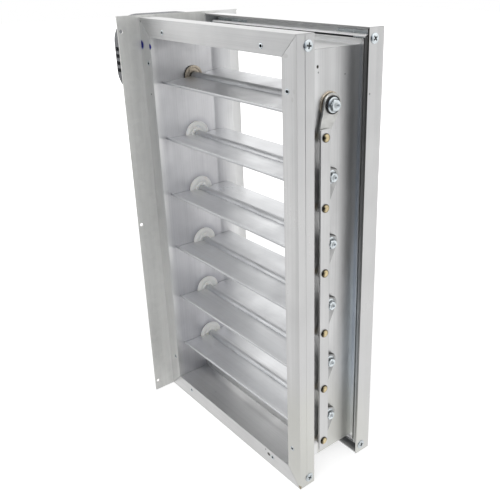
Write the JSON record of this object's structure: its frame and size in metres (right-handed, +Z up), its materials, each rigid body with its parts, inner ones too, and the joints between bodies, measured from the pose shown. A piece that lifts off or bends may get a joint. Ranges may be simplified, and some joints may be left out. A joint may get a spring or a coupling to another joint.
{
  "type": "parallel blade duct damper",
  "caption": "Rectangular duct damper: an extruded channel frame holding a stack of flat parallel blades linked by a side bar, with a side mounting plate and a rounded actuator.",
  "frame": {"origin": "centre of the mounting plate's screw holes, on the plate's face that looks at the duct", "axes": "+X from the mounting plate along the blade shafts to the linkage side, +Y the way the air goes (the pictured face is -Y), +Z up"},
  "size_m": [0.3221, 0.1524, 0.4597],
  "materials": {
    "frame_aluminium": "satin",
    "bracket_steel": "satin",
    "screw_zinc": "zinc plated",
    "plate_steel": "galvanised",
    "bronze": "sintered, matte",
    "nylon": "matte",
    "blade_metal": "satin",
    "shaft_steel": "satin",
    "crank_steel": "zinc plated",
    "black_washer": "matte",
    "bar_aluminium": "satin",
    "brass": "satin",
    "housing_plastic": "fine texture",
    "motor_metal": "satin",
    "board": "solder mask",
    "terminal_plastic": "matte",
    "button_plastic": "satin",
    "grommet_rubber": "matte"
  },
  "bodies": {
    "frame": {"side_channel_left": "frame_aluminium", "side_channel_right": "frame_aluminium", "top_channel": "frame_aluminium", "bottom_channel": "frame_aluminium", "corner_brackets": "bracket_steel", "flange_rivets": "frame_aluminium", "corner_screws": "screw_zinc", "plate_screws": "screw_zinc", "blade_stops": "frame_aluminium", "mounting_plate": "plate_steel", "bronze_bushings": "bronze", "nylon_bushings": "nylon", "actuator_base": "housing_plastic", "actuator_cover": "housing_plastic", "base_screws": "screw_zinc", "cover_screws": "screw_zinc", "gear_plate": "bracket_steel", "idler_spindle": "screw_zinc", "motor": "motor_metal", "control_board": "board", "terminal_block": "terminal_plastic", "cable_grommet": "grommet_rubber"},
    "drive_blade": {"blade_1": "blade_metal", "drive_shaft": "shaft_steel", "drive_crank": "crank_steel", "drive_washer": "black_washer", "drive_bolt": "screw_zinc", "output_gear": "nylon", "hub_set_screw": "screw_zinc"},
    "linked_blade_2": {"blade_2": "blade_metal", "shaft_2": "shaft_steel", "crank_2": "crank_steel", "crank_screw_2": "screw_zinc"},
    "linked_blade_3": {"blade_3": "blade_metal", "shaft_3": "shaft_steel", "crank_3": "crank_steel", "crank_screw_3": "screw_zinc"},
    "linked_blade_4": {"blade_4": "blade_metal", "shaft_4": "shaft_steel", "crank_4": "crank_steel", "crank_screw_4": "screw_zinc"},
    "linked_blade_5": {"blade_5": "blade_metal", "shaft_5": "shaft_steel", "crank_5": "crank_steel", "crank_screw_5": "screw_zinc"},
    "linked_blade_6": {"blade_6": "blade_metal", "shaft_6": "shaft_steel", "crank_6": "crank_steel", "crank_screw_6": "screw_zinc"},
    "linkage": {"link_bar": "bar_aluminium", "link_pins": "brass"},
    "idler": {"idler_gear": "nylon"},
    "pinion": {"motor_pinion": "brass"},
    "button": {"release_button": "button_plastic"}
  },
  "joints": [
    {"name": "drive_turn", "type": "hinge", "parent": "frame", "child": "drive_blade", "pos_m": [0.127, 0, 0.165], "axis": [-1, 0, 0], "range_deg": [0, 86]},
    {"name": "blade_2_turn", "type": "hinge", "parent": "frame", "child": "linked_blade_2", "pos_m": [0.127, 0, 0.099], "axis": [-1, 0, 0], "range_deg": [0, 86]},
    {"name": "blade_3_turn", "type": "hinge", "parent": "frame", "child": "linked_blade_3", "pos_m": [0.127, 0, 0.033], "axis": [-1, 0, 0], "range_deg": [0, 86]},
    {"name": "blade_4_turn", "type": "hinge", "parent": "frame", "child": "linked_blade_4", "pos_m": [0.127, 0, -0.033], "axis": [-1, 0, 0], "range_deg": [0, 86]},
    {"name": "blade_5_turn", "type": "hinge", "parent": "frame", "child": "linked_blade_5", "pos_m": [0.127, 0, -0.099], "axis": [-1, 0, 0], "range_deg": [0, 86]},
    {"name": "blade_6_turn", "type": "hinge", "parent": "frame", "child": "linked_blade_6", "pos_m": [0.127, 0, -0.165], "axis": [-1, 0, 0], "range_deg": [0, 86]},
    {"name": "bar_pivot", "type": "hinge", "parent": "drive_blade", "child": "linkage", "pos_m": [0.243, -0.01023, 0.13765], "axis": [-1, 0, 0], "range_deg": [-86, 0]},
    {"name": "idler_turn", "type": "hinge", "parent": "frame", "child": "idler", "pos_m": [-0.01, 0, 0.1958], "axis": [-1, 0, 0], "range_deg": [-258, 0]},
    {"name": "pinion_turn", "type": "hinge", "parent": "frame", "child": "pinion", "pos_m": [-0.014, 0.02164, 0.2016], "axis": [-1, 0, 0], "range_deg": [0, 774]},
    {"name": "button_press", "type": "slide", "parent": "frame", "child": "button", "axis": [1, 0, 0], "range_m": [0, 0.003], "stiffness_N_per_m": 200, "springref_m": -0.003}
  ],
  "couplings": [
    {"joint": "blade_2_turn", "follows": "drive_turn", "ratio": 1},
    {"joint": "blade_3_turn", "follows": "drive_turn", "ratio": 1},
    {"joint": "blade_4_turn", "follows": "drive_turn", "ratio": 1},
    {"joint": "blade_5_turn", "follows": "drive_turn", "ratio": 1},
    {"joint": "blade_6_turn", "follows": "drive_turn", "ratio": 1},
    {"joint": "bar_pivot", "follows": "drive_turn", "ratio": -1},
    {"joint": "idler_turn", "follows": "drive_turn", "ratio": -3},
    {"joint": "pinion_turn", "follows": "drive_turn", "ratio": 9}
  ]
}
